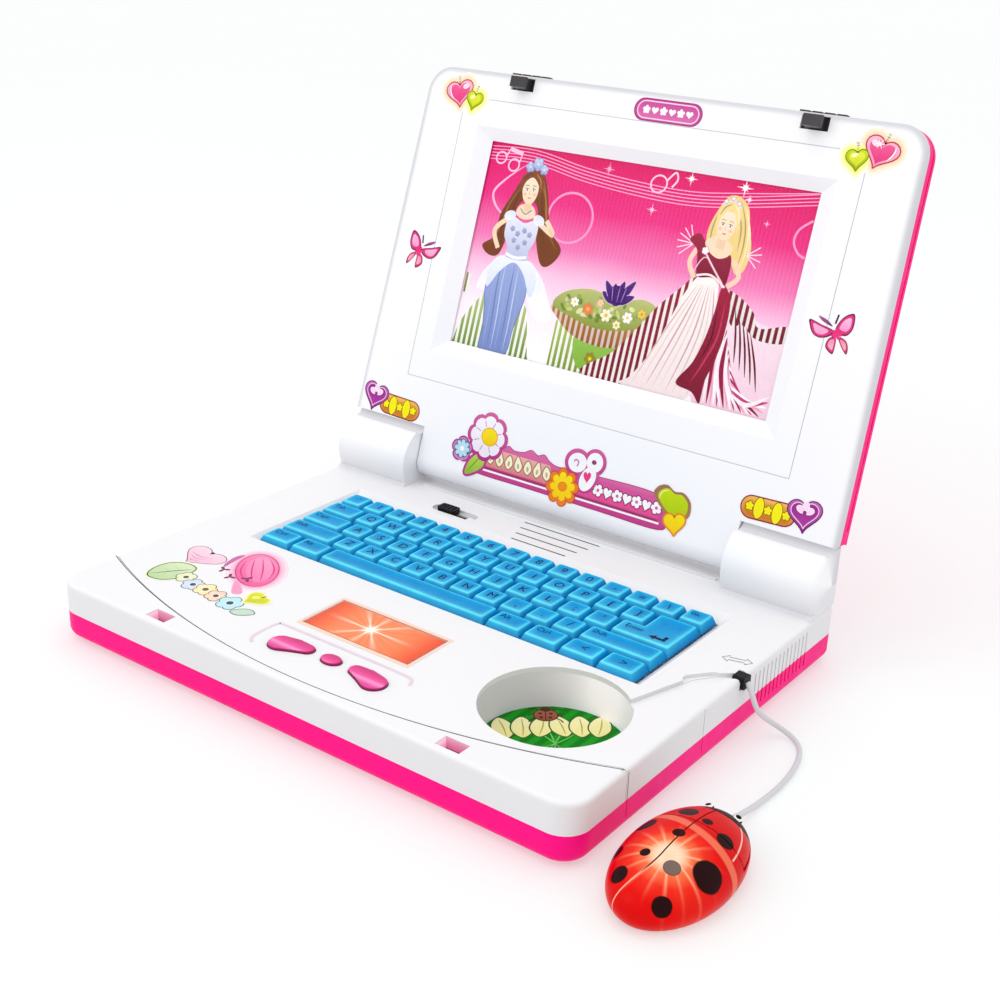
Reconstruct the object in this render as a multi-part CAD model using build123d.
"""Toy laptop computer with a tethered ladybird mouse.

Millimetres, +Z up, +X to the object's right, front edge towards -Y.  The origin is
the centre of the base's footprint, on the plane that its stand rim rests on.
The lid is modelled open, in the position in which it stands at rest.
"""
from build123d import *
import math
import os

# ---------------------------------------------------------------- driving sizes
WIDTH = 270.0            # base, left to right
DEPTH = 202.0            # base, front to back
DECK_Z = 26.8            # top face of the base
SEAM_Z = 13.6            # parting line between the two base shells
FLOOR_Z = 1.2            # underside of the lower shell, above the stand rim
WALL = 2.2               # moulded wall thickness
FRONT_R = 11.0           # front corners in plan
REAR_R = 5.0             # rear corners in plan
DECK_EDGE_R = 2.4        # rounding of the deck's rim
BOTTOM_EDGE_R = 4.6      # rounding of the lower shell's rim

KEY_PITCH_X = 13.6
KEY_PITCH_Y = 13.5
KEY_GAP = 0.5            # between neighbouring keys, at their skirts
KEY_TOP_Z = 28.7
KEY_SKIRT_Z = 24.2
KEYS_LEFT = -101.0       # left side of the key block
KEYS_FRONT = 86.9        # front of the key block, from the front edge of the base
KEY_ROWS = 5
KEYS_WIDE = 15           # key widths across the block
KEYS_RIGHT = KEYS_LEFT + KEYS_WIDE * KEY_PITCH_X
KEYS_BACK = KEYS_FRONT + KEY_ROWS * KEY_PITCH_Y
CAP_INSET = 2.6          # how much narrower a key's top is than its skirt
STEM_HALF = 2.4          # half width of the square guide stem under each key
FRAME_LOW_Z = 20.8       # keyboard guide frame
FRAME_HIGH_Z = 22.4
ROW_UNITS = {            # row from the front, first key width, and the widths of its keys
    "number": (4, 0.0, [1.0] * 14),
    "backspace": (4, 14.0, [1.0]),
    "tab": (3, 0.0, [1.5]),
    "top_letter": (3, 1.5, [1.0] * 12),
    "caps_lock": (2, 0.0, [1.8]),
    "home_letter": (2, 1.8, [1.0] * 11),
    "left_shift": (1, 0.0, [2.3]),
    "bottom_letter": (1, 2.3, [1.0] * 10),
    "right_shift": (1, 12.3, [2.7]),
    "left_control": (0, 0.0, [1.35, 1.35]),
    "space_bar": (0, 2.7, [6.9]),
    "right_control": (0, 9.6, [1.35] * 4),
}

HINGE_Y = 195.8          # hinge axis, from the front edge
HINGE_Z = 37.0
BARREL_R = 7.8           # lid knuckle, tangent to the lid's front face
HOUSING_R = 18.2         # hinge housings, round the same axis
HOUSING_IN_X = 90.2      # inner cheek of each housing
HOUSING_OUT_X = 134.4
LID_TILT = 17.67         # lean of the open lid behind the vertical, degrees
LID_THICK = 12.4
BEZEL_THICK = 3.0        # white front moulding at the lid's edge
LID_TOP = 193.8          # top edge of the lid, along the lid from the hinge axis
LID_HALF_BOTTOM = 136.0  # half width level with the deck
LID_HALF_TOP = 131.0
LID_CORNER_R = 13.0

SCREEN_HALF = 88.0       # visible picture
SCREEN_LOW = 61.4
SCREEN_HIGH = 161.5
FRAME_HALF = 96.0        # front rim of the sloping picture frame
FRAME_LOW = 54.5
FRAME_HIGH = 167.5

LATCH_XS = (-73.3, 80.3)
LATCH_LOW = 187.0        # hook, along the lid from the hinge axis
LATCH_HIGH = 192.0
HOOK_REACH = 6.7         # how far the hooks stand out of the lid's face
CATCH_TOP_Z = 21.4       # pads under the slots that take the hooks
LID_FRONT_Y = -BARREL_R  # the lid's levels, in its own upright frame
LID_BACK_Y = LID_THICK - BARREL_R
BEZEL_BACK_Y = LID_FRONT_Y + BEZEL_THICK
WINDOW_FRONT_Y = -3.6
WING_R = HOUSING_R + 0.4
TONGUE_X = 89.6          # half length of the middle knuckle
LID_SCREWS = [(sx * 120, z) for z in (36, 176) for sx in (-1, 1)] + [(-60, 30), (60, 30)]

PAD_X, PAD_Y = 0.5, 53.0     # centre of the light-up pad
PAD_W, PAD_D = 56.0, 24.6
PAD_LEDGE_Z = 25.6
BUTTON_X, BUTTON_Y = 4.0, 22.0

WELL_X, WELL_Y = 90.7, 52.3  # round well for the mouse
WELL_R = 29.5
WELL_FLOOR_Z = 8.4
CUP_WALL = 1.8

GROOVE = [(110.0, 66.0), (121.5, 104.0), (127.0, 112.0), (134.0, 118.0)]
GROOVE_W = 4.4               # cord groove from the well to the gland
GROOVE_Z = 25.0
GROOVE_BACKING = [(116.0, 86.0), (121.5, 104.0), (128.0, 112.5)]
POCKET = [(120.5, 103.0), (126.5, 110.5)]

RIB_FIRST_Y = 129.0          # grip ribs on the flanks
RIB_PITCH = 3.5
RIB_COUNT = 14
SIDE_SEAMS = (34.4, 88.0)
APRON_SAG = 4.5              # nearest the apron's seam comes to the front edge
APRON_END = 34.0             # where the seam meets the sides
SEAM_GAP = 0.4

BATTERY_BAY = (-106.0, -40.0, 28.0, 82.0)
CELL_PITCH = 17.4
CELL_R = 7.1
CELL_Z = 11.0
SCREW_SPOTS = [(sx * x, y) for x, y in ((122, 18), (124.4, 96), (122.4, 188.4)) for sx in (-1, 1)]
BOARD_Z = 9.0                # underside of the main circuit board
BOARD_TOP_Z = 10.6

SWITCH_X, SWITCH_Y = -51.0, 170.6
SPEAKER_X, SPEAKER_Y = 3.0, 173.7

MOUSE_X, MOUSE_Y = 164.3, 22.0
MOUSE_HALF_LONG = 33.6
MOUSE_HALF_WIDE = 20.4
MOUSE_WAIST_Z = 6.0      # widest level of the mouse
MOUSE_DOME = 14.0        # dome height above the waist
MOUSE_WALL = 1.6
MOUSE_BUTTON_REAR = MOUSE_Y + 9.0    # cross seam behind the two front buttons
MOUSE_HEAD_Y = MOUSE_Y + 23.6        # seam behind the black head
MOUSE_SCREW_Y = MOUSE_Y - 16.0
LENS_SPOT = (5.8, -16.2)             # lens in the wing case, from the mouse's middle
LENS_R = 2.9
MOUSE_FOOT_Z = 0.6
MOUSE_SEAM_Z = 5.4

CORD_D = 2.2
CORD_LIE = CORD_D / 2 + 0.05
CORD_EXIT = (136.4, 118.6, 24.6)
CORD_ROUTE = [
    CORD_EXIT,
    (139.4, 118.0, 20.6),
    (141.0, 119.4, 13.8),
    (143.2, 124.0, 8.4),
    (147.0, 128.4, 4.2),
    (153.0, 129.2, 1.6),
    (158.6, 125.0, CORD_LIE),
    (162.4, 117.4, CORD_LIE),
    (164.6, 107.6, CORD_LIE),
    (165.6, 96.4, CORD_LIE),
    (165.2, 84.8, CORD_LIE),
    (164.4, 74.4, 1.6),
    (164.2, 65.4, 3.4),
    (MOUSE_X, MOUSE_Y + MOUSE_HALF_LONG - 0.3, 6.6),
]

FIT = 0.3                # clearance round parts that move
PIN_FIT = 0.05           # radial clearance of a pin in its bore
EPS = 0.01
UNDER_DECK = 20.0        # cuts through the deck run between these levels
OVER_DECK = 28.0


def fy(y):
    """Turns a distance from the front edge into the model's Y."""
    return y - DEPTH / 2


def at(x, y, z):
    return Pos(x, fy(y), z)


def prism(sketch, z0, z1):
    return extrude(Pos(0, 0, z0) * sketch, z1 - z0)


def block(x0, x1, y0, y1, z0, z1):
    """A box from its limits, with Y counted from the front edge."""
    centre = at((x0 + x1) / 2, (y0 + y1) / 2, (z0 + z1) / 2)
    return centre * Box(x1 - x0, y1 - y0, z1 - z0)


def post(x, y, z0, z1, radius):
    return at(x, y, (z0 + z1) / 2) * Cylinder(radius, z1 - z0)


def base_outline(inset=0.0):
    plate = Rectangle(WIDTH - 2 * inset, DEPTH - 2 * inset)
    corners = plate.vertices().group_by(Axis.Y)
    plate = fillet(corners[0], max(FRONT_R - inset, 1.5))
    corners = plate.vertices().group_by(Axis.Y)
    return fillet(corners[-1], max(REAR_R - inset, 1.5))


def stroke(points, width):
    """A flat path of one width with round ends, as a sketch."""
    shape = Sketch()
    for a, b in zip(points, points[1:]):
        ends = [Pos(x, fy(y)) * Circle(width / 2) for x, y in (a, b)]
        shape += make_hull(ends[0].edges() + ends[1].edges())
    return shape


# ---------------------------------------------------------------- base shells
def side_grooves():
    """Fine vertical grooves on both flanks: the grip ribs and two seam lines."""
    cuts = Part()
    for side in (-1, 1):
        for i in range(RIB_COUNT):
            y = RIB_FIRST_Y + i * RIB_PITCH
            x = side * (WIDTH / 2)
            cuts += block(x - 0.7, x + 0.7, y - 0.55, y + 0.55, 7.6, DECK_Z - 3.4)
        for y in SIDE_SEAMS:
            x = side * (WIDTH / 2)
            cuts += block(x - 0.4, x + 0.4, y - 0.25, y + 0.25, 6.4, DECK_Z + 1)
    return cuts


def apron_region(gap=0.0):
    """Everything in front of the arc that bounds the front apron, less a gap at its seam."""
    half = WIDTH / 2 + 1
    sag = APRON_END - APRON_SAG
    radius = (half ** 2 + sag ** 2) / (2 * sag)
    disc = Pos(0, fy(APRON_SAG) + radius) * Circle(radius)
    strip = Pos(0, fy(APRON_END / 2 - 5)) * Rectangle(2 * half, APRON_END + 10)
    return Pos(0, -gap, 0) * prism(strip - disc, SEAM_Z - 1, DECK_Z + 1)


def comma(side, grow=0.0):
    """One of the paired comma-shaped buttons; side is -1 for the left one."""
    x = BUTTON_X
    lobes = (
        ((x + side * 24.6, BUTTON_Y - 1.4), 5.4),
        ((x + side * 19.0, BUTTON_Y + 0.6), 4.6),
        ((x + side * 13.0, BUTTON_Y + 1.6), 3.2),
    )
    shape = Sketch()
    for (a, ra), (b, rb) in zip(lobes, lobes[1:]):
        first = Pos(a[0], fy(a[1])) * Circle(ra + grow)
        second = Pos(b[0], fy(b[1])) * Circle(rb + grow)
        shape += make_hull(first.edges() + second.edges())
    return shape


def middle_button_outline(grow=0.0):
    return Pos(BUTTON_X, fy(BUTTON_Y + 1.4)) * Ellipse(4.8 + grow, 3.5 + grow)


def pad_block(inset, z0, z1):
    half_w, half_d = PAD_W / 2 - inset, PAD_D / 2 - inset
    return block(PAD_X - half_w, PAD_X + half_w, PAD_Y - half_d, PAD_Y + half_d, z0, z1)


def speaker_slits():
    slits = Part()
    for i in range(4):
        y = SPEAKER_Y - 9.6 + i * 6.4
        half = 15.5 + 2.0 * i
        slits += block(SPEAKER_X - half, SPEAKER_X + half, y - 0.45, y + 0.45, DECK_Z - WALL - 1, DECK_Z + 1)
    return slits


def keyboard_recess():
    """The sloping recess round the key block, and the opening that the keys stand in."""
    rim_x0, rim_x1, rim_y0, rim_y1 = KEYS_LEFT - 4.0, KEYS_RIGHT + 4.0, KEYS_FRONT - 1.0, KEYS_BACK + 8.4
    top = Pos((rim_x0 + rim_x1) / 2, fy((rim_y0 + rim_y1) / 2), DECK_Z + EPS)
    top = top * Rectangle(rim_x1 - rim_x0, rim_y1 - rim_y0)
    low = Pos((KEYS_LEFT + KEYS_RIGHT) / 2, fy((KEYS_FRONT + KEYS_BACK) / 2), KEY_SKIRT_Z)
    low = low * Rectangle(KEYS_RIGHT - KEYS_LEFT + 1.0, KEYS_BACK - KEYS_FRONT + 1.0)
    funnel = loft([low, top])
    opening = block(KEYS_LEFT - 0.5, KEYS_RIGHT + 0.5, KEYS_FRONT - 0.5, KEYS_BACK + 0.5, DECK_Z - 8, DECK_Z)
    return funnel + opening


def latch_slots():
    slots = Part()
    for x in LATCH_XS:
        slots += block(x - 7.4, x + 3.5, 3.0, 9.6, DECK_Z - 5, DECK_Z + 1)
    return slots


def base_upper():
    """The whole white upper moulding, before the apron is parted from it."""
    shell = prism(base_outline(), SEAM_Z, DECK_Z)
    shell = fillet(shell.edges().group_by(Axis.Z)[-1], DECK_EDGE_R)
    shell -= prism(base_outline(WALL), SEAM_Z - 1, DECK_Z - WALL)
    frame_y0, frame_y1 = KEYS_FRONT - 2.6, KEYS_BACK + 8.6
    shell += block(KEYS_LEFT - 5, KEYS_RIGHT + 5, frame_y0, frame_y1, FRAME_HIGH_Z, DECK_Z - 1)
    shell += prism(stroke(GROOVE_BACKING, GROOVE_W + 3.0), GROOVE_Z - 2.0, DECK_Z - 1)
    for x, y in SCREW_SPOTS:
        shell += post(x, y, SEAM_Z + 0.2, DECK_Z - 1, 3.4)
        shell -= post(x, y, SEAM_Z - 1, DECK_Z - 4.4, 1.45)
    shell += block(-84, 84, 186.2, 187.8, DECK_Z - 1, DECK_Z + 0.9)
    shell -= keyboard_recess()
    shell -= post(WELL_X, WELL_Y, DECK_Z - 8, DECK_Z + 1, WELL_R)
    shell -= prism(stroke(GROOVE, GROOVE_W), GROOVE_Z, DECK_Z + 1)
    shell -= prism(stroke(POCKET, GROOVE_W + 3.2), GROOVE_Z + 0.3, DECK_Z + 1)
    shell -= block(131.0, 136.0, CORD_EXIT[1] - 3.3, CORD_EXIT[1] + 3.3, CORD_EXIT[2] - 3.2, DECK_Z + 1)
    shell -= pad_block(0, PAD_LEDGE_Z, OVER_DECK)
    shell -= block(PAD_X - 25.5, PAD_X + 25.5, PAD_Y - 9.8, PAD_Y + 9.8, UNDER_DECK, OVER_DECK)
    for side in (-1, 1):
        shell -= prism(comma(side, FIT), UNDER_DECK, OVER_DECK)
    shell -= prism(middle_button_outline(FIT), UNDER_DECK, OVER_DECK)
    tray = Pos(SWITCH_X, fy(SWITCH_Y)) * SlotOverall(26.0, 7.4)
    shell -= prism(tray, DECK_Z - 1.2, DECK_Z + 1)
    shell -= block(SWITCH_X - 7.6, SWITCH_X + 7.6, SWITCH_Y - 1.5, SWITCH_Y + 1.5, UNDER_DECK, OVER_DECK)
    shell -= speaker_slits()
    shell -= latch_slots()
    return shell - side_grooves()


def catch_posts():
    """Blocks of the lower shell that close the latch slots from below, short of the hooks."""
    posts = Part()
    for x in LATCH_XS:
        posts += block(x - 8.4, x + 4.5, 2.6, 10.6, FLOOR_Z + 0.5, CATCH_TOP_Z)
    return posts


def base_lower():
    shell = prism(base_outline(), FLOOR_Z, SEAM_Z)
    shell = fillet(shell.edges().group_by(Axis.Z)[0], BOTTOM_EDGE_R)
    shell -= prism(base_outline(WALL), FLOOR_Z + WALL, SEAM_Z + 1)
    shell += prism(base_outline(9.0) - base_outline(12.5), 0, FLOOR_Z + 0.5)
    shell += catch_posts()
    x0, x1, y0, y1 = BATTERY_BAY
    shell += block(x0 - 1.6, x1 + 1.6, y0 - 1.6, y1 + 1.6, FLOOR_Z + 0.5, 21.2)
    shell -= block(x0, x1, y0, y1, FLOOR_Z - 1, 19.6)
    for x, y in SCREW_SPOTS:
        shell += post(x, y, FLOOR_Z + 0.5, SEAM_Z, 3.6)
        shell -= post(x, y, -1, SEAM_Z + 1, 1.5)
        shell -= post(x, y, -1, FLOOR_Z + 2.0, 3.0)
    return shell - side_grooves()


def battery_door():
    x0, x1, y0, y1 = BATTERY_BAY
    door = block(x0 + 0.25, x1 - 0.25, y0 + 0.25, y1 - 0.25, FLOOR_Z, FLOOR_Z + 2.0)
    for i in range(7):
        x = x0 + 12 + i * 7
        door -= block(x - 0.8, x + 0.8, y0 + 8, y1 - 8, FLOOR_Z - 1, FLOOR_Z + 0.5)
    door -= post(x1 - 6, (y0 + y1) / 2, 0, 5, 1.5)
    return door - post(x1 - 6, (y0 + y1) / 2, 0, FLOOR_Z + 1.4, 2.8)


def screw(x, y, z_head, z_tip, head_r=2.7, shank_r=1.3):
    """A pan-head screw driven upwards, with a cross recess in its head."""
    body = post(x, y, z_head, z_head + 1.2, head_r) + post(x, y, z_head + 1, z_tip, shank_r)
    body -= block(x - 1.5, x + 1.5, y - 0.3, y + 0.3, z_head - 1, z_head + 0.7)
    return body - block(x - 0.3, x + 0.3, y - 1.5, y + 1.5, z_head - 1, z_head + 0.7)


def door_screw():
    y0, y1 = BATTERY_BAY[2:]
    return screw(BATTERY_BAY[1] - 6, (y0 + y1) / 2, FLOOR_Z + 0.2, 8.0)


def shell_screws():
    return [screw(x, y, FLOOR_Z + 0.6, 21.0) for x, y in SCREW_SPOTS]


def battery_cells():
    x0, x1, y0, y1 = BATTERY_BAY
    cells = []
    for i in range(3):
        y = y0 + 9.4 + i * CELL_PITCH
        can = at((x0 + x1) / 2, y, CELL_Z) * Rot(0, 90, 0) * Cylinder(CELL_R, 50.0)
        tip = at((x0 + x1) / 2, y, CELL_Z) * Rot(0, 90, 0) * Cylinder(2.7, 52.2)
        cells.append(can + tip)
    return cells


def battery_contacts():
    x0, x1, y0, y1 = BATTERY_BAY
    plates = []
    for i in range(3):
        y = y0 + 9.4 + i * CELL_PITCH
        for x in (x0 + 1.0, x1 - 1.0):
            plates.append(block(x - 0.2, x + 0.2, y - 5, y + 5, CELL_Z - 5.5, CELL_Z + 5.5))
    return plates


def hinge_cover(side):
    """A rounded housing round the hinge axis, with a dip where it meets the open lid."""
    length = HOUSING_OUT_X - HOUSING_IN_X
    deck = DECK_Z - HINGE_Z
    barrel = Circle(HOUSING_R) - Pos(0, deck - HOUSING_R) * Rectangle(60, 2 * HOUSING_R)
    rear = DEPTH - HINGE_Y - 0.4
    barrel -= Pos(rear + 20, 0) * Rectangle(40, 60)
    back = Pos(rear / 2, deck / 2) * Rectangle(rear, -deck)
    foot = make_face(Polyline((-17.9, deck), (-15.9, deck + 1.6), (0, deck + 1.6), (0, deck), close=True))
    dip = Pos(-4.6, 19.6) * Circle(4.6)
    profile = barrel + back + foot - dip
    solid = extrude(Plane.YZ * profile, length)
    solid = Pos(HOUSING_IN_X, fy(HINGE_Y), HINGE_Z) * solid
    rim = solid.faces().sort_by(Axis.X)[-1].edges().filter_by(lambda e: e.center().Z > DECK_Z + 1.8)
    solid = chamfer(rim, 1.2)
    cavity = block(HOUSING_IN_X + 16, HOUSING_OUT_X - 3, HINGE_Y - 12, HINGE_Y + 3, DECK_Z - 1, 44)
    bore = Pos(HOUSING_IN_X + 6, fy(HINGE_Y), HINGE_Z) * Rot(0, 90, 0) * Cylinder(3 + PIN_FIT, 18)
    seat = Pos(HOUSING_IN_X, fy(HINGE_Y), HINGE_Z) * Rot(0, 90, 0) * Cylinder(6.8, 2.4)
    solid = solid - cavity - bore - seat
    return solid if side > 0 else mirror(solid, Plane.YZ)


def along_x(x0, x1, radius):
    return Pos((x0 + x1) / 2, fy(HINGE_Y), HINGE_Z) * Rot(0, 90, 0) * Cylinder(radius, x1 - x0)


def hinge_pins():
    return [along_x(*sorted((side * 72.0, side * 104.6)), 3.0) for side in (-1, 1)]


def hinge_washers():
    rings = []
    for side in (-1, 1):
        ring = along_x(*sorted((side * 90.0, side * 91.2)), 6.5)
        rings.append(ring - along_x(*sorted((side * 89.0, side * 92.2)), 3.35))
    return rings


# ---------------------------------------------------------------- keys and switches
def key_box(x0, x1, y0, y1):
    """One key: a skirt that narrows to the cap, and the guide stem under it."""
    x, y = (x0 + x1) / 2, (y0 + y1) / 2
    low = Pos(x, fy(y), KEY_SKIRT_Z) * Rectangle(x1 - x0, y1 - y0)
    top = Pos(x, fy(y) + 0.5, KEY_TOP_Z) * Rectangle(x1 - x0 - CAP_INSET, y1 - y0 - CAP_INSET)
    half = STEM_HALF
    stem = block(x - half, x + half, y - half, y + half, FRAME_LOW_Z - 0.4, KEY_SKIRT_Z + 1)
    return loft([low, top]) + stem


def key_limits(row, start, width):
    x0 = KEYS_LEFT + start * KEY_PITCH_X + KEY_GAP / 2
    x1 = KEYS_LEFT + (start + width) * KEY_PITCH_X - KEY_GAP / 2
    y0 = KEYS_FRONT + row * KEY_PITCH_Y + KEY_GAP / 2
    y1 = KEYS_FRONT + (row + 1) * KEY_PITCH_Y - KEY_GAP / 2
    return x0, x1, y0, y1


def key_group(name):
    row, start, widths = ROW_UNITS[name]
    keys = []
    for width in widths:
        keys.append(key_box(*key_limits(row, start, width)))
        start += width
    return keys


def enter_key():
    """The L-shaped enter key, over the two middle rows."""
    lower = key_box(*key_limits(2, 12.8, 2.2))
    x0, x1, y0, y1 = key_limits(3, 13.5, 1.5)
    upper = Pos((x0 + x1) / 2, fy((y0 + y1) / 2 - 2.0), KEY_SKIRT_Z) * Rectangle(x1 - x0, y1 - y0 + 4.0)
    crown = Pos((x0 + x1) / 2, fy((y0 + y1) / 2 - 2.0) + 0.5, KEY_TOP_Z)
    crown = crown * Rectangle(x1 - x0 - CAP_INSET, y1 - y0 + 4.0 - CAP_INSET)
    return lower + loft([upper, crown])


def stem_spots():
    spots = []
    for row, start, widths in ROW_UNITS.values():
        for width in widths:
            x0, x1, y0, y1 = key_limits(row, start, width)
            spots.append(((x0 + x1) / 2, (y0 + y1) / 2))
            start += width
    x0, x1, y0, y1 = key_limits(2, 12.8, 2.2)
    return spots + [((x0 + x1) / 2, (y0 + y1) / 2)]


def keyboard_frame():
    hole = 2 * STEM_HALF + 0.8
    plate = Rectangle(KEYS_RIGHT - KEYS_LEFT + 9, 72)
    plate = Pos((KEYS_LEFT + KEYS_RIGHT) / 2, fy(KEYS_FRONT + 34)) * plate
    plate -= [Pos(x, fy(y)) * Rectangle(hole, hole) for x, y in stem_spots()]
    return prism(plate, FRAME_LOW_Z, FRAME_HIGH_Z)


def key_mat():
    return block(KEYS_LEFT - 3, KEYS_RIGHT + 3, KEYS_FRONT - 1, KEYS_FRONT + 69, 17.2, 18.2)


def pad_button(outline):
    button = prism(outline, 22.6, DECK_Z + 1.3)
    return fillet(button.edges().group_by(Axis.Z)[-1], 0.8)


def switch_knob():
    """Ribbed slider at the left end of its tray, with its stem through the slot."""
    x = SWITCH_X - 4.0
    knob = block(x - 5.2, x + 5.2, SWITCH_Y - 3.0, SWITCH_Y + 3.0, DECK_Z - 0.85, DECK_Z + 1.6)
    knob = fillet(knob.edges().filter_by(Axis.Z), 1.2)
    for i in range(4):
        rib_x = x - 3.3 + i * 2.2
        knob -= block(rib_x - 0.45, rib_x + 0.45, SWITCH_Y - 2.2, SWITCH_Y + 2.2, DECK_Z + 0.9, DECK_Z + 2)
    return knob + block(x - 2.6, x + 2.6, SWITCH_Y - 1.1, SWITCH_Y + 1.1, 21.5, DECK_Z)


# ---------------------------------------------------------------- fittings in the base
def pad_window():
    return pad_block(FIT, PAD_LEDGE_Z, DECK_Z - 0.1)


def pad_lamp():
    dome = at(PAD_X, PAD_Y, 15.0) * Sphere(2.5)
    return post(PAD_X, PAD_Y, BOARD_TOP_Z, 15.0, 2.5) + dome


def well_cup():
    cup = post(WELL_X, WELL_Y, WELL_FLOOR_Z - 1.6, DECK_Z - WALL, WELL_R + CUP_WALL)
    return cup - post(WELL_X, WELL_Y, WELL_FLOOR_Z, DECK_Z, WELL_R)


def well_disc():
    return post(WELL_X, WELL_Y, WELL_FLOOR_Z, WELL_FLOOR_Z + 0.6, WELL_R - 0.3)


def circuit_board():
    board = block(-30, 52, 90, 160, BOARD_Z, BOARD_TOP_Z)
    board += block(-31, 20, 60, 92, BOARD_Z, BOARD_TOP_Z) + block(-14, 14, 44, 62, BOARD_Z, BOARD_TOP_Z)
    for x, y, w, d in ((0, 120, 18, 18), (30, 140, 10, 6), (-15, 140, 8, 12), (35, 105, 12, 8)):
        board += block(x - w / 2, x + w / 2, y - d / 2, y + d / 2, BOARD_TOP_Z - 0.2, BOARD_TOP_Z + 1.8)
    return board - post(PAD_X, PAD_Y, BOARD_TOP_Z, UNDER_DECK, 2.6)


def speaker():
    cone = post(SPEAKER_X, SPEAKER_Y, 19.0, DECK_Z - WALL, 10.2)
    cone -= post(SPEAKER_X, SPEAKER_Y, 23.0, DECK_Z, 8.8)
    return cone + post(SPEAKER_X, SPEAKER_Y, 14.6, 19.2, 6.5)


def cable_gland():
    """Black grommet in the deck's rim, where the mouse cord leaves the base."""
    x, y, z = CORD_EXIT
    body = block(131.2, x, y - 3.0, y + 3.0, z - 2.8, DECK_Z + 0.2)
    return fillet(body.edges().filter_by(Axis.X), 0.9)


# ---------------------------------------------------------------- lid
def stand(shape):
    """Puts a shape from the upright lid's own frame in its place.

    In that frame the hinge axis is X through the origin, Z runs up the lid and -Y
    is the side with the screen.
    """
    return Pos(0, fy(HINGE_Y), HINGE_Z) * Rot(-LID_TILT, 0, 0) * shape


def stand_all(shapes):
    return [stand(shape) for shape in shapes]


def slab(x0, x1, y0, y1, z0, z1):
    return Pos((x0 + x1) / 2, (y0 + y1) / 2, (z0 + z1) / 2) * Box(x1 - x0, y1 - y0, z1 - z0)


def lid_half_width(z):
    level = DECK_Z - HINGE_Z
    return LID_HALF_BOTTOM + (LID_HALF_TOP - LID_HALF_BOTTOM) * (z - level) / (LID_TOP - level)


def lid_face(inset, low):
    """The lid's outline, a little narrower at the top, from the level low upwards."""
    foot, head = lid_half_width(low) - inset, lid_half_width(LID_TOP) - inset
    top = LID_TOP - inset
    corners = [(-foot, low), (foot, low), (head, top), (-head, top)]
    face = make_face(Polyline(*corners, close=True))
    return fillet(face.vertices().group_by(Axis.Y)[-1], LID_CORNER_R - inset)


def lid_prism(face, y0, y1):
    """Extrudes a face drawn in X and Z between two levels of Y."""
    return extrude(Plane((0, y0, 0), x_dir=(1, 0, 0), z_dir=(0, -1, 0)) * face, -(y1 - y0))


def wing_clearance():
    """Room for the hinge housings, all round the hinge axis."""
    cuts = []
    for side in (-1, 1):
        ring = Pos(side * (TONGUE_X + 30), 0, 0) * Rot(0, 90, 0) * Cylinder(WING_R, 60)
        below = slab(*sorted((side * TONGUE_X, side * (TONGUE_X + 60))), -30, 30, -30, 8)
        cuts += [ring, below]
    return cuts


def picture_frame():
    """The opening that slopes in from the frame's front rim to the picture."""
    front = Plane((0, LID_FRONT_Y - EPS, 0), x_dir=(1, 0, 0), z_dir=(0, -1, 0))
    back = Plane((0, WINDOW_FRONT_Y + EPS, 0), x_dir=(1, 0, 0), z_dir=(0, -1, 0))
    wide = Pos(0, (FRAME_LOW + FRAME_HIGH) / 2) * Rectangle(2 * FRAME_HALF, FRAME_HIGH - FRAME_LOW)
    tight = Pos(0, (SCREEN_LOW + SCREEN_HIGH) / 2) * Rectangle(2 * SCREEN_HALF, SCREEN_HIGH - SCREEN_LOW)
    return loft([front * wide, back * tight])


def lid_bezel():
    plate = lid_prism(lid_face(0, 0), LID_FRONT_Y, BEZEL_BACK_Y)
    rim = plate.faces().sort_by(Axis.Y)[0].edges().filter_by(lambda e: e.center().Z > 4)
    plate = fillet(rim, 1.4)
    plate -= wing_clearance()
    plate += Rot(0, 90, 0) * Cylinder(BARREL_R, 2 * TONGUE_X)
    side, low, high = FRAME_HALF + 2.4, FRAME_LOW - 2.4, FRAME_HIGH + 2.4
    plate += slab(-side, side, LID_FRONT_Y + 1, WINDOW_FRONT_Y, low, high)
    plate -= picture_frame()
    line = Pos(0, 110.2) * (Rectangle(214.0, 140.4) - Rectangle(213.2, 139.6))
    plate -= lid_prism(line, LID_FRONT_Y - 1, LID_FRONT_Y + 0.3)
    for x in LATCH_XS:
        plate -= slab(x - 7.6, x + 5.6, LID_FRONT_Y - 1, BEZEL_BACK_Y + 1, LATCH_LOW - 0.6, LATCH_HIGH + 0.5)
        low, high = LATCH_LOW - 1.6, LID_TOP - 1.2
        plate -= slab(x - 16.5, x + 13.5, BEZEL_BACK_Y - 1.2, BEZEL_BACK_Y + 1, low, high)
    for side in (-1, 1):
        plate -= Pos(side * 81, 0, 0) * Rot(0, 90, 0) * Cylinder(3.0, 18.0)
    return stand(plate)


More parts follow.
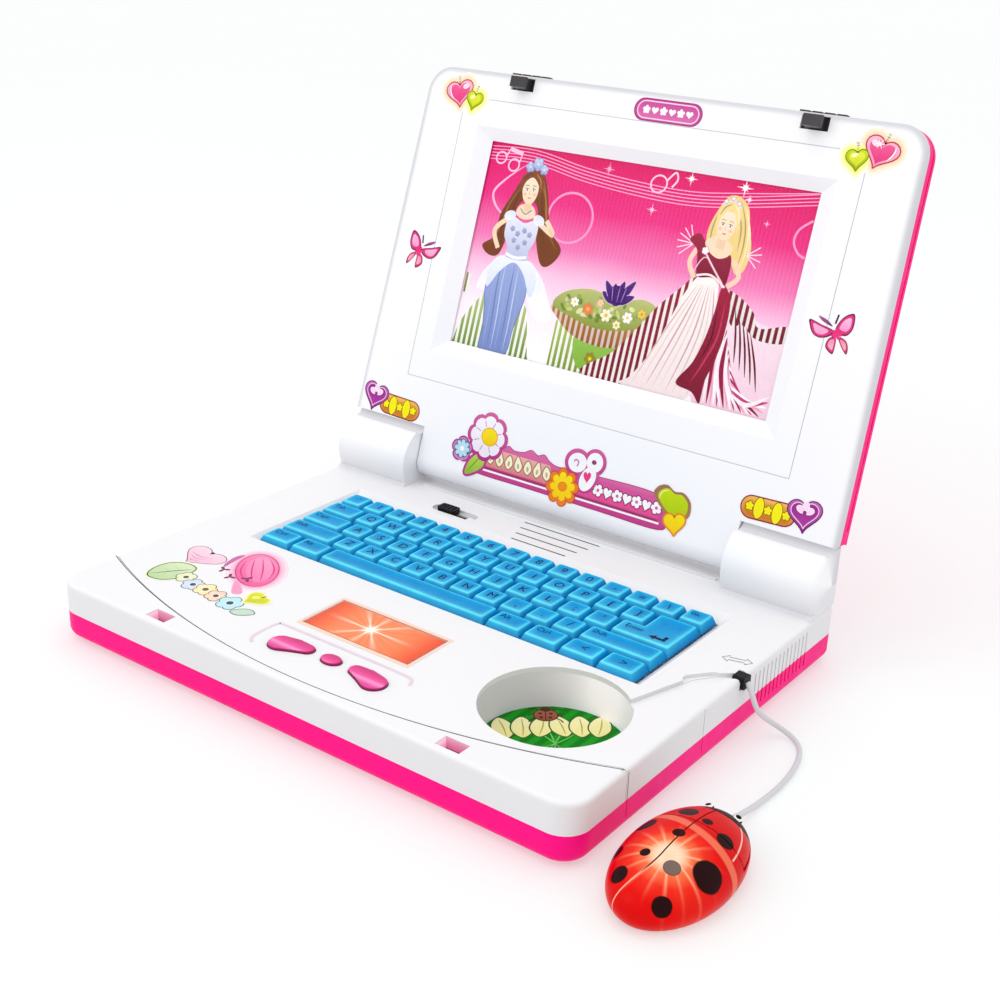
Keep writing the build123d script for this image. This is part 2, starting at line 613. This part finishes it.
def lid_rear():
    cover = lid_prism(lid_face(0, 8.6), BEZEL_BACK_Y, LID_BACK_Y)
    rim = cover.faces().sort_by(Axis.Y)[-1].edges()
    cover = fillet(rim, 2.6)
    cover -= wing_clearance()
    cavity = lid_prism(lid_face(WALL, 11.0), BEZEL_BACK_Y - 1, LID_BACK_Y - WALL)
    cavity -= slab(-140, -86, -30, 30, 0, 24)
    cavity -= slab(86, 140, -30, 30, 0, 24)
    cover -= cavity
    groove = lid_face(-1, 24) - lid_face(0.9, 24)
    cover -= lid_prism(groove, -0.9, 0.3) - slab(-140, 140, -5, 5, 0, 24.5)
    for x in LATCH_XS:
        cover -= slab(x - 15.2, x + 12.2, BEZEL_BACK_Y - 1, BEZEL_BACK_Y + 4.4, LID_TOP - 5, LID_TOP + 1)
    for x, z in LID_SCREWS:
        cover += Pos(x, 0, z) * Rot(90, 0, 0) * Cylinder(3.2, 2 * (LID_BACK_Y - 1))
        cover -= Pos(x, 0, z) * Rot(90, 0, 0) * Cylinder(1.4, 40)
        cover -= Pos(x, LID_BACK_Y, z) * Rot(90, 0, 0) * Cylinder(2.9, 3.2)
    return stand(cover)


def lid_screws():
    screws = []
    for x, z in LID_SCREWS:
        head = Pos(x, LID_BACK_Y - 1.0, z) * Rot(90, 0, 0) * Cylinder(2.6, 1.1)
        shank = Pos(x, 0.2, z) * Rot(90, 0, 0) * Cylinder(1.25, 7.4)
        body = head + shank
        body -= Pos(x, LID_BACK_Y - 0.5, z) * Box(3.0, 0.8, 0.6)
        screws.append(body - Pos(x, LID_BACK_Y - 0.5, z) * Box(0.6, 0.8, 3.0))
    return stand_all(screws)


def screen_window():
    side = SCREEN_HALF + 3
    back = WINDOW_FRONT_Y + 1.0
    return stand(slab(-side, side, WINDOW_FRONT_Y, back, SCREEN_LOW - 3, SCREEN_HIGH + 3))


def screen_picture():
    return stand(slab(-SCREEN_HALF - 2, SCREEN_HALF + 2, -2.5, -2.1, SCREEN_LOW - 2, SCREEN_HIGH + 2))


def backlight_board():
    board = slab(-70, 70, 0.2, 1.6, SCREEN_LOW + 16, SCREEN_HIGH - 16)
    for i in range(4):
        x = -52.5 + 35 * i
        board += Pos(x, -0.4, (SCREEN_LOW + SCREEN_HIGH) / 2) * Rot(90, 0, 0) * Cylinder(2.4, 1.6)
    return stand(board)


def latch(x):
    """A slide with a hook through the bezel and ribbed thumb grips on the lid's top edge."""
    tip = LID_FRONT_Y - HOOK_REACH
    hook = slab(x - 4.0, x + 3.0, tip, BEZEL_BACK_Y + 1.4, LATCH_LOW, LATCH_HIGH)
    barb = slab(x + 2.9, x + 4.8, tip, tip + 1.6, LATCH_LOW, LATCH_HIGH)
    plate = slab(x - 12, x + 12, BEZEL_BACK_Y - 0.8, BEZEL_BACK_Y + 1.4, LATCH_LOW - 1.0, LID_TOP - 2)
    grip = slab(x - 11, x + 11, BEZEL_BACK_Y + 0.5, BEZEL_BACK_Y + 3.6, LID_TOP - 2.4, LID_TOP - 0.4)
    body = hook + barb + plate + grip
    front, rear = BEZEL_BACK_Y + 0.6, BEZEL_BACK_Y + 3.4
    for i in range(4):
        rib_x = x - 8.7 + i * 5.8
        body += slab(rib_x - 2.3, rib_x + 2.3, front, rear, LID_TOP - 0.6, LID_TOP + 1.1)
    return stand(body)


def latch_springs():
    springs = []
    for x in LATCH_XS:
        coil = Rot(0, 90, 0) * Cylinder(0.95, 3.4) - Rot(0, 90, 0) * Cylinder(0.6, 4)
        springs.append(Pos(x + 14.1, BEZEL_BACK_Y + 1.3, LATCH_LOW + 2.4) * coil)
    return stand_all(springs)


# ---------------------------------------------------------------- mouse
def egg(shrink=0.0):
    """The mouse's egg-shaped body, in place, still whole."""
    form = scale(Sphere(1.0), by=(MOUSE_HALF_WIDE - shrink, MOUSE_HALF_LONG - shrink, MOUSE_DOME - shrink))
    return at(MOUSE_X, MOUSE_Y, MOUSE_WAIST_Z) * form


def mouse_block(y0, y1, z0, z1, x0=-30.0, x1=30.0):
    return block(MOUSE_X + x0, MOUSE_X + x1, y0, y1, z0, z1)


def mouse_lower():
    tray = egg() & mouse_block(MOUSE_Y - 40, MOUSE_Y + 40, MOUSE_FOOT_Z, MOUSE_SEAM_Z)
    tray -= egg(MOUSE_WALL) & mouse_block(MOUSE_Y - 40, MOUSE_Y + 40, MOUSE_FOOT_Z + 1.4, MOUSE_SEAM_Z + 1)
    boss = post(MOUSE_X, MOUSE_SCREW_Y, MOUSE_FOOT_Z + 0.6, MOUSE_SEAM_Z, 2.8)
    bore = post(MOUSE_X, MOUSE_SCREW_Y, 0, 9, 1.25)
    return tray + boss - bore - post(MOUSE_X, MOUSE_SCREW_Y, 0, 2.0, 2.3)


def mouse_dome():
    return egg() - egg(MOUSE_WALL)


def mouse_upper():
    """Wing case over the back, with the low rim that runs forward under the buttons."""
    rear = mouse_dome() & mouse_block(MOUSE_Y - 40, MOUSE_BUTTON_REAR, MOUSE_SEAM_Z, 30)
    rim = mouse_dome() & mouse_block(MOUSE_BUTTON_REAR - 1, MOUSE_HEAD_Y, MOUSE_SEAM_Z, 7.4)
    return rear + rim - lens_plane() * Cylinder(LENS_R + 0.1, 12)


def mouse_button(side):
    x0, x1 = sorted((side * 0.25, side * 30.0))
    return mouse_dome() & mouse_block(MOUSE_BUTTON_REAR + 0.5, MOUSE_HEAD_Y - 0.5, 8.8, 30, x0, x1)


def mouse_head():
    """The black head, with two short round eyes on its brow."""
    head = egg() & mouse_block(MOUSE_HEAD_Y, MOUSE_Y + 40, MOUSE_SEAM_Z, 30)
    for side in (-1, 1):
        head += at(MOUSE_X + side * 5.6, MOUSE_Y + 29.2, 11.4) * Sphere(1.9)
    return head


def lens_plane():
    """The tangent plane of the wing case at the middle of the lens."""
    a, b, c = MOUSE_HALF_WIDE, MOUSE_HALF_LONG, MOUSE_DOME
    x, y = LENS_SPOT
    z = c * math.sqrt(1 - (x / a) ** 2 - (y / b) ** 2)
    centre = (MOUSE_X + x, fy(MOUSE_Y + y), MOUSE_WAIST_Z + z)
    return Plane(origin=centre, z_dir=(x / a ** 2, y / b ** 2, z / c ** 2))


def mouse_lens():
    pane = Pos(0, 0, -0.65) * Cylinder(LENS_R, 1.7)
    return lens_plane() * fillet(pane.edges().group_by(Axis.Z)[-1], 0.3)


def mouse_board():
    board = mouse_block(MOUSE_Y - 12, MOUSE_Y + 20, 5.6, 6.8, -11, 11)
    for side in (-1, 1):
        board += mouse_block(MOUSE_Y + 13, MOUSE_Y + 18, 6.6, 9.2, side * 6 - 2.5, side * 6 + 2.5)
    return board


def mouse_feet():
    feet = []
    for y in (MOUSE_Y - 22, MOUSE_Y + 20):
        for side in (-1, 1):
            feet.append(post(MOUSE_X + side * 8, y, 0, MOUSE_FOOT_Z, 2.6))
    return feet


# ---------------------------------------------------------------- cord
def cord_path():
    points = [Vector(x, fy(y), z) for x, y, z in CORD_ROUTE]
    radii = []
    for a, b, c in zip(points, points[1:], points[2:]):
        run = min((b - a).length, (c - b).length)
        half_turn = math.radians((b - a).get_angle(c - b)) / 2
        radii.append(0.45 * run / math.tan(half_turn))
    print("cord radii", [round(r, 1) for r in radii])
    return FilletPolyline(*points, radius=radii)


def mouse_cord():
    path = cord_path()
    start = Plane(origin=path @ 0, z_dir=path % 0)
    tube = sweep(start * Circle(CORD_D / 2), path=path)
    expected = math.pi * (CORD_D / 2) ** 2 * path.length
    print("cord length", round(path.length, 1), "volume", round(tube.volume, 1), "of", round(expected, 1))
    return tube


# ---------------------------------------------------------------- assembly
def build():
    upper = base_upper()
    apron = upper & apron_region(SEAM_GAP)
    nodes = {
        "base_upper_shell": upper - apron_region(),
        "front_apron": apron,
        "base_lower_shell": base_lower(),
        "battery_door": battery_door(),
        "battery_door_screw": door_screw(),
        "battery_cells": battery_cells(),
        "battery_contacts": battery_contacts(),
        "shell_screws": shell_screws(),
        "hinge_cover_left": hinge_cover(-1),
        "hinge_cover_right": hinge_cover(1),
        "hinge_pins": hinge_pins(),
        "hinge_washers": hinge_washers(),
        "keyboard_frame": keyboard_frame(),
        "key_mat": key_mat(),
        "main_circuit_board": circuit_board(),
        "speaker": speaker(),
        "touchpad_window": pad_window(),
        "touchpad_lamp": pad_lamp(),
        "left_pad_button": pad_button(comma(-1)),
        "middle_pad_button": pad_button(middle_button_outline()),
        "right_pad_button": pad_button(comma(1)),
        "power_switch_knob": switch_knob(),
        "mouse_well_cup": well_cup(),
        "well_floor_disc": well_disc(),
        "cable_gland": cable_gland(),
        "enter_key": enter_key(),
        "lid_front_bezel": lid_bezel(),
        "lid_rear_cover": lid_rear(),
        "lid_screws": lid_screws(),
        "screen_window": screen_window(),
        "screen_picture": screen_picture(),
        "backlight_board": backlight_board(),
        "left_latch": latch(LATCH_XS[0]),
        "right_latch": latch(LATCH_XS[1]),
        "latch_springs": latch_springs(),
        "mouse_lower_shell": mouse_lower(),
        "mouse_upper_shell": mouse_upper(),
        "mouse_left_button": mouse_button(-1),
        "mouse_right_button": mouse_button(1),
        "mouse_head": mouse_head(),
        "mouse_lens": mouse_lens(),
        "mouse_circuit_board": mouse_board(),
        "mouse_feet": mouse_feet(),
        "mouse_screw": screw(MOUSE_X, MOUSE_SCREW_Y, 0.8, 5.2, head_r=2.1, shank_r=1.1),
        "mouse_cord": mouse_cord(),
    }
    for name in ROW_UNITS:
        suffix = "_keys" if len(ROW_UNITS[name][2]) > 1 else "_key"
        nodes[name if name == "space_bar" else name + suffix] = key_group(name)
    return nodes


os.makedirs("parts", exist_ok=True)
for name, shape in build().items():
    solid = Compound(children=list(shape)) if isinstance(shape, list) else shape
    export_step(solid, f"parts/{name}.step")
